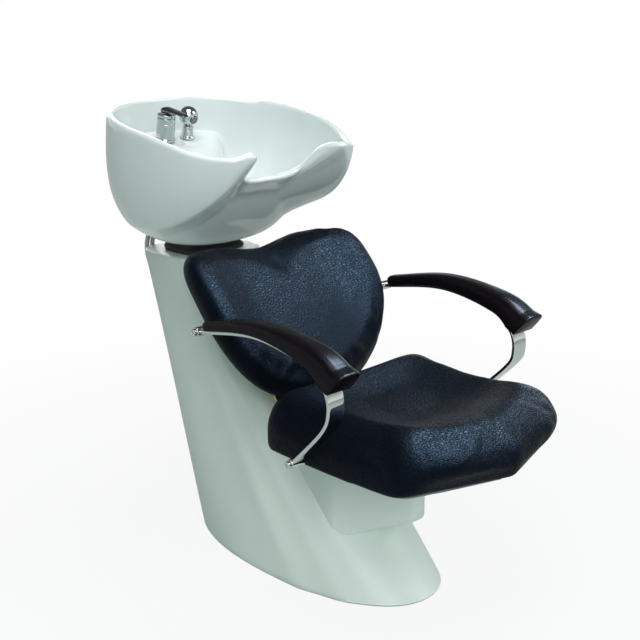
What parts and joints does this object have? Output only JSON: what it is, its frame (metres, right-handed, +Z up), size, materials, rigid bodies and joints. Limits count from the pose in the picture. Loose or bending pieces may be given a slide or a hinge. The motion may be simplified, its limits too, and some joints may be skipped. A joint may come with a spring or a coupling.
{
  "type": "shampoo chair",
  "caption": "Salon backwash chair: padded seat and wrapped back with looped armrests on a swept pedestal, and a tilting ceramic basin with a neck rest, mixer and spray.",
  "frame": {"origin": "on the floor under the middle of the pedestal, on the floor plate's underside", "axes": "+Z up, -Y the way the sitter faces, +X the sitter's left"},
  "size_m": [0.6508, 1.2212, 1.0515],
  "materials": {
    "chrome": "polished",
    "dark_chrome": "polished",
    "arm_pad_polish": "gloss",
    "painted_board": "matte",
    "navy_leather": "satin",
    "yellow_zinc": "satin",
    "gelcoat_white": "gloss",
    "glazed_ceramic": "gloss",
    "frame_steel": "satin",
    "black_paint": "satin",
    "black_rubber": "matte",
    "brass": "satin",
    "index_blue": "gloss",
    "braided_steel": "satin",
    "white_plastic": "matte"
  },
  "bodies": {
    "chair": {"arm_bar_left": "chrome", "arm_bar_right": "chrome", "arm_bolt_front_left": "chrome", "arm_bolt_front_right": "chrome", "arm_bolt_rear_left": "chrome", "arm_bolt_rear_right": "chrome", "arm_pad_left": "arm_pad_polish", "arm_pad_right": "arm_pad_polish", "back_board": "painted_board", "back_cushion": "navy_leather", "back_plate": "yellow_zinc", "back_strut_left": "yellow_zinc", "back_strut_right": "yellow_zinc", "base_shell": "gelcoat_white", "bracket_bolt_front_left": "frame_steel", "bracket_bolt_front_right": "frame_steel", "bracket_bolt_rear_left": "frame_steel", "bracket_bolt_rear_right": "frame_steel", "floor_plate": "frame_steel", "mast_left": "frame_steel", "mast_right": "frame_steel", "rear_panel": "gelcoat_white", "seat_board": "painted_board", "seat_bolt_front_left": "chrome", "seat_bolt_front_right": "chrome", "seat_bolt_rear_left": "chrome", "seat_bolt_rear_right": "chrome", "seat_console": "gelcoat_white", "seat_cushion": "navy_leather", "seat_rail_left": "frame_steel", "seat_rail_right": "frame_steel", "stop_valve_cold": "chrome", "stop_valve_hot": "chrome", "supply_hose_cold": "braided_steel", "supply_hose_hot": "braided_steel", "tilt_boot": "black_rubber", "tilt_bracket": "black_paint", "tilt_nut": "frame_steel", "tilt_pin": "frame_steel", "tilt_washer_left": "frame_steel", "tilt_washer_right": "frame_steel", "top_plate": "frame_steel"},
    "bowl_unit": {"bowl": "glazed_ceramic", "cradle_pad": "black_rubber", "tilt_cradle": "black_paint", "waste_gasket": "black_rubber", "waste_nut": "white_plastic", "waste_strainer": "chrome", "mixer_body": "chrome", "mixer_cartridge": "brass", "mixer_nut": "brass", "spray_guide": "chrome", "spray_guide_nut": "brass"},
    "mixer_cap": {"mixer_cap": "chrome", "mixer_index": "index_blue"},
    "mixer_lever": {"mixer_lever": "dark_chrome"},
    "spray": {"spray_head": "chrome", "spray_face": "dark_chrome"},
    "panel_catch": {"panel_catch": "chrome"}
  },
  "joints": [
    {"name": "bowl_tilt", "type": "hinge", "parent": "chair", "child": "bowl_unit", "pos_m": [0, 0.475, 0.709], "axis": [1, 0, 0], "range_deg": [-10, 5], "deforming": ["tilt_boot", "supply_hose_cold", "supply_hose_hot"]},
    {"name": "mixer_turn", "type": "hinge", "parent": "bowl_unit", "child": "mixer_cap", "pos_m": [-0.035, 0.53708, 1.033], "axis": [0, -0.1564, 0.9877], "range_deg": [-50, 50]},
    {"name": "mixer_lift", "type": "hinge", "parent": "mixer_cap", "child": "mixer_lever", "pos_m": [-0.035, 0.53708, 1.033], "axis": [-1, 0, 0], "range_deg": [0, 25]},
    {"name": "spray_lift", "type": "slide", "parent": "bowl_unit", "child": "spray", "axis": [0, -0.1564, 0.9877], "range_m": [0, 0.1]},
    {"name": "catch_turn", "type": "hinge", "parent": "chair", "child": "panel_catch", "pos_m": [0, 0.42581, 0.152], "axis": [0, 0.984, -0.178], "range_deg": [0, 90]}
  ]
}
